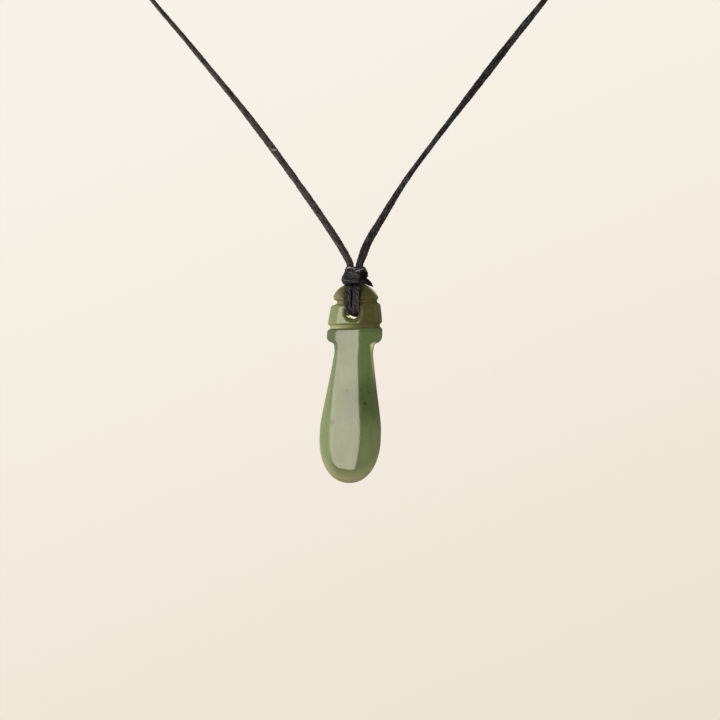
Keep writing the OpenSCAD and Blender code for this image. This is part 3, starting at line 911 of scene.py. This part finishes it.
def nape_knot():
    """The cord's turns round itself, tucked in at both ends."""
    rows = []
    count = NAPE_TURNS * NAPE_STEPS
    for k in range(count + 1):
        share = k / count
        out = min(1, share * NAPE_TUCK_PARTS, (1 - share) * NAPE_TUCK_PARTS)
        radius = NAPE_RADIUS - (1 - out) * NAPE_TUCK - NAPE_HALF_W * NAPE_SINK
        angle = 2 * math.pi * k / NAPE_STEPS
        place = np.array([(share - 0.5) * (NAPE_LENGTH - 2 * NAPE_HALF_W),
                          radius * math.cos(angle), radius * math.sin(angle)]) * MM
        rows.append([*place, NAPE_HALF_W * MM, NAPE_HALF_W * NAPE_FLATNESS * MM, 0.0])
    return strand("nape_sliding_knot", rows, (1, 0, 0), sides=14)


nape = dress(nape_knot(), CORD, "cord", "waxed_cord", "nape_knot")

# The stone is thickest along its middle, and thinner by this share at this half width, in mm
CROWN = 0.32
HANDLE_CROWN_W = 5.275
# The neck's own crown takes over between these depths below the hole
NECK_BLEND = (7.7, 10.5)
NECK_CROWN_W = 4.85
# Rows of the stone. Columns, in mm: height above the hole, half width, half thickness, rise in
# each mm to the right, width of the rounded band at its edges, shift to the right
HANDLE = [
    (3.45, 5.55, 2.4, 0.06, 2.4, 0),
    (3.3, 5.35, 2.32, 0.065, 2.2, 0),
    (3.15, 5.0, 2.2, 0.07, 2, 0.25),
    (2.7, 4.95, 2.02, 0.08, 2, 0.3),
    (2.3, 5.0, 2.2, 0.085, 2, 0.25),
    (2.1, 5.65, 2.38, 0.085, 2.1, 0.1),
    (1.9, 6.0, 2.5, 0.08, 2.2, 0),
    (1.7, 6.1, 2.55, 0.075, 2.2, 0),
    (0, 6.4, 2.65, 0.07, 2.2, 0),
    (-2.4, 6.7, 2.75, 0.08, 2.2, 0),
    (-2.7, 6.6, 2.7, 0.08, 2.2, 0),
    (-2.95, 6.3, 2.57, 0.08, 2.1, 0),
    (-3.2, 6.15, 2.45, 0.08, 2, 0),
    (-3.75, 6.1, 2.25, 0.08, 2, 0.1),
    (-3.9, 6.38, 2.55, 0.075, 2.1, 0.1),
    (-4.0, 6.6, 2.76, 0.07, 2.2, 0.1),
    (-4.4, 6.8, 2.8, 0.065, 2.2, 0.05),
    (-5.5, 6.88, 2.8, 0.05, 2.2, 0),
    (-6.3, 6.83, 2.78, 0.045, 2.2, 0),
    (-6.85, 6.58, 2.74, 0.04, 1.9, 0),
    (-7.25, 6.13, 2.7, 0.03, 1.5, 0),
    (-7.5, 5.48, 2.67, 0.025, 1.1, 0),
    (-7.75, 5.08, 2.64, 0.02, 0.8, 0),
]
BLADE = [
    (-8.1, 4.93, 2.6, 0.01, 0.6, 0),
    (-9.7, 4.78, 2.5, 0, 0.6, 0),
    (-12.3, 5.08, 2.5, 0, 0.85, 0),
    (-16.3, 5.68, 2.5, 0, 1.25, 0),
    (-20.3, 6.33, 2.55, 0, 1.75, 0),
    (-24.3, 7.0, 2.6, 0, 2.5, 0),
    (-28, 7.5, 2.6, 0, 3.2, 0),
    (-31, 7.6, 2.6, 0, 3.6, 0),
]
# The foot: its depth below the hole, how full its outline is, the band that rounds it off
FOOT_DROP = 42.2
FOOT_FULLNESS = 2.15
FOOT_BAND = 4.4
# The dome: its base and its top above the hole, half width and thickness, how full its outline
# is, how fast it thins, how far its top leans, and its rounded band
DOME_MIDDLE = 3.0
DOME_RISE = 7.6
DOME_HALF_W = 5.73
DOME_HALF_T = 2.4
DOME_OUTLINE = 1.78
DOME_THINNING = 1.8
DOME_LEAN = -0.08
DOME_BAND = 2.4
# The least half thickness, at the dome's top
TOP_HALF_T = 0.5
# Rows of the dome and of the foot, at even angles in degrees from the first to the last
DOME_ROWS = 23
DOME_ANGLES = (89, 12)
FOOT_ROWS = 40
FOOT_ANGLES = (0, 89.3)
STONE_SIDES = 160
# The grid that the carved stone is rebuilt on, and how strongly and how often it is smoothed
VOXEL = 0.145 * MM
POLISH = 0.5
POLISH_PASSES = 4


def rounded(inside, band):
    """Share of the full thickness left at some distance in from a rounded edge."""
    return 1.0 if inside >= band else math.sqrt(max(0, 1 - (1 - max(0, inside) / band) ** 2))


def stone_rows():
    """Rows of the whole stone from its crown to its foot, in mm."""
    rows = []
    for degrees in np.linspace(*DOME_ANGLES, DOME_ROWS + 1):
        angle = math.radians(degrees)
        share = bent(math.cos(angle), DOME_OUTLINE)
        rise = (DOME_RISE - DOME_MIDDLE) * bent(math.sin(angle), DOME_OUTLINE)
        rows.append((DOME_MIDDLE + rise, DOME_HALF_W * share,
                     max(TOP_HALF_T, DOME_HALF_T * share**DOME_THINNING),
                     0, DOME_BAND, DOME_LEAN * math.sin(angle)))
    rows += HANDLE + [tuple(row) for row in smooth(BLADE, steps=6)]
    belly_height, belly_w, belly_t, _, belly_band, _ = BLADE[-1]
    for degrees in np.linspace(*FOOT_ANGLES, FOOT_ROWS + 1)[1:]:
        angle = math.radians(degrees)
        rise = (FOOT_DROP + belly_height) * (1 - bent(math.sin(angle), FOOT_FULLNESS))
        rows.append((rise - FOOT_DROP, belly_w * bent(math.cos(angle), FOOT_FULLNESS),
                     belly_t * rounded(rise, FOOT_BAND), 0, belly_band, 0))
    return rows


def hang(x, y, z):
    """A point of the stone, from its own frame to where it hangs, leaning."""
    return HOLE + MM * np.array([x * math.cos(LEAN) + z * math.sin(LEAN), y,
                                 z * math.cos(LEAN) - x * math.sin(LEAN)])


def stone_ring(height, half_w, half_t, slant, band, shift):
    """The stone's outline at one row, flat in the middle and rounded over a band at its edges."""
    band = min(band, half_w)
    crown_w = np.interp(-height, NECK_BLEND, (HANDLE_CROWN_W, max(half_w, NECK_CROWN_W)))
    ring = []
    for i in range(STONE_SIDES):
        angle = 2 * math.pi * i / STONE_SIDES
        x = half_w * math.cos(angle)
        thick = half_t * (1 - CROWN * (x / crown_w) ** 2) * rounded(half_w - abs(x), band)
        ring.append(hang(STONE_OFFSET + shift + x, math.copysign(thick, math.sin(angle)),
                         height + slant * x))
    return ring


# Bore and its bevels, drilled from both faces so that the two meet a little off line: depth
# from the middle of the stone, radius, shift to the right, in mm
BORE_ROWS = [(-4.5, 4.4, 0), (-2.65, 2.45, 0), (-2.3, 2.07, 0), (-2.0, 1.78, 0), (-1.7, 1.62, 0),
             (-1.0, 1.58, 0.2), (0, 1.58, 0.55), (0.8, 1.6, 0.88), (1.3, 1.62, 0.95),
             (1.9, 1.72, 0.85), (2.3, 2.07, 0.7), (2.65, 2.4, 0.55), (4.5, 4.3, 0.3)]
BORE_SIDES = 96


def bore():
    """What the drill takes out, bevels and all."""
    turns = [2 * math.pi * i / BORE_SIDES for i in range(BORE_SIDES)]
    rings = []
    for y, radius, shift in BORE_ROWS:
        rings.append([hang(shift + radius * math.cos(turn), y, radius * math.sin(turn))
                      for turn in turns])
    return outward(loft("bore", rings))


def carve_stone():
    """The lofted stone, bored, then softened all over as polishing does."""
    rough = outward(loft("rough_stone", [stone_ring(*row) for row in stone_rows()]))
    cutter = bore()
    cut = rough.modifiers.new("cut", "BOOLEAN")
    cut.operation = "DIFFERENCE"
    cut.solver = "EXACT"
    cut.object = cutter
    remesh = rough.modifiers.new("remesh", "REMESH")
    remesh.mode = "VOXEL"
    remesh.voxel_size = VOXEL
    remesh.use_smooth_shade = True
    polish = rough.modifiers.new("polish", "SMOOTH")
    polish.factor = POLISH
    polish.iterations = POLISH_PASSES
    stone = evaluated(rough, "polished_stone")
    for helper in (rough, cutter):
        bpy.data.objects.remove(helper)
    stone.data.shade_smooth()
    return stone


stone = dress(carve_stone(), STONE, "stone", "greenstone", "mere")


# Light, backdrop and floor

def area_light(name, place, size, radiance, colour, aim):
    """A rectangular light of some radiance, which shines towards a point."""
    data = bpy.data.lights.new(name, "AREA")
    data.shape = "RECTANGLE"
    data.size, data.size_y = size
    data.energy = radiance * size[0] * size[1] * math.pi
    data.color = colour
    lamp = bpy.data.objects.new(name, data)
    lamp.location = place
    lamp.rotation_euler = (Vector(aim) - Vector(place)).to_track_quat("-Z", "Y").to_euler()
    lamp.visible_camera = False
    bpy.context.scene.collection.objects.link(lamp)
    return lamp


def soft_box():
    """The large box light whose reflection lies on the face of the stone."""
    foot = BOX_DISTANCE * math.tan(BOX_FOOT)
    head = BOX_DISTANCE * math.tan(BOX_HEAD)
    for i, (first, last, share) in enumerate(BOX_PANELS):
        left = BOX_DISTANCE * math.tan(math.radians(first))
        right = BOX_DISTANCE * math.tan(math.radians(last))
        place = HOLE + np.array([(left + right) / 2, -BOX_DISTANCE, (foot + head) / 2])
        area_light(f"soft_box_{i}", place, (right - left, head - foot), BOX_RADIANCE * share,
                   BOX_COLOUR, place + np.array([0, 1, 0]))


def back_light():
    """The narrow light that shines on the bore's pale wall."""
    lamp = area_light("back_light", HOLE + np.array(BACK_LIGHT_FROM),
                      (BACK_LIGHT_SIDE, BACK_LIGHT_SIDE), BACK_LIGHT_RADIANCE, (1, 1, 1),
                      HOLE + np.array(BACK_LIGHT_AIM))
    lamp.data.spread = BACK_LIGHT_SPREAD


# Backdrop seen by the camera, and how its two colours lie across the view
BACKDROP_LIGHT = srgb(248, 242, 233)
BACKDROP_SHADE = srgb(233, 224, 204)
BACKDROP_ACROSS = (-1.57, 0.0, 3.8)
BACKDROP_MIDDLE = 0.64
# The room that the stone reflects: bright on the left, dim ahead, between the two on the right
ROOM_BRIGHT = (1.35, 1.25, 1.08, 1.0)
ROOM_DIM = (0.16, 0.155, 0.13, 1.0)
ROOM_RIGHT = (0.5, 0.47, 0.33, 1.0)
# Where its left and its right begin and are full, as how far a direction points towards +X
ROOM_LEFT_SPAN = (-0.52, -0.86)
ROOM_RIGHT_SPAN = (0.55, 1.0)


def make_world():
    """What the camera sees behind the pendant, and the room that everything else sees."""
    world = bpy.data.worlds.new("world")
    bpy.context.scene.world = world
    nodes = Nodes(world)
    nodes.tree.nodes.clear()
    direction = nodes.add("ShaderNodeTexCoord").outputs["Generated"]
    fall = nodes.vector("DOT_PRODUCT", direction, BACKDROP_ACROSS, "Value")
    shade = nodes.maths("ADD", fall, BACKDROP_MIDDLE, clamp=True)
    seen = nodes.mix(shade, BACKDROP_SHADE, BACKDROP_LIGHT)
    across = nodes.split(direction)["X"]
    room = nodes.mix(nodes.ramp(across, *ROOM_LEFT_SPAN), ROOM_DIM, ROOM_BRIGHT)
    room = nodes.mix(nodes.ramp(across, *ROOM_RIGHT_SPAN), room, ROOM_RIGHT)
    room = nodes.add("ShaderNodeBackground", {"Color": room}).outputs[0]
    seen = nodes.add("ShaderNodeBackground", {"Color": seen}).outputs[0]
    to_camera = nodes.add("ShaderNodeLightPath").outputs["Is Camera Ray"]
    both = nodes.add("ShaderNodeMixShader", {0: to_camera, 1: room, 2: seen}).outputs[0]
    nodes.add("ShaderNodeOutputWorld", {"Surface": both})


def make_floor():
    """The plain pale floor, far below the pendant."""
    bpy.ops.mesh.primitive_circle_add(vertices=FLOOR_SIDES, radius=FLOOR_RADIUS,
                                      fill_type="NGON", location=FLOOR_MIDDLE)
    floor = bpy.context.object
    floor.name = "floor"
    floor.data.materials.append(floor_finish())
    # The room goes on below the horizon in what the stone reflects
    floor.visible_glossy = False


soft_box()
back_light()
make_world()
make_floor()
bpy.context.scene.view_settings.view_transform = "Standard"
bpy.context.scene.view_settings.look = "None"
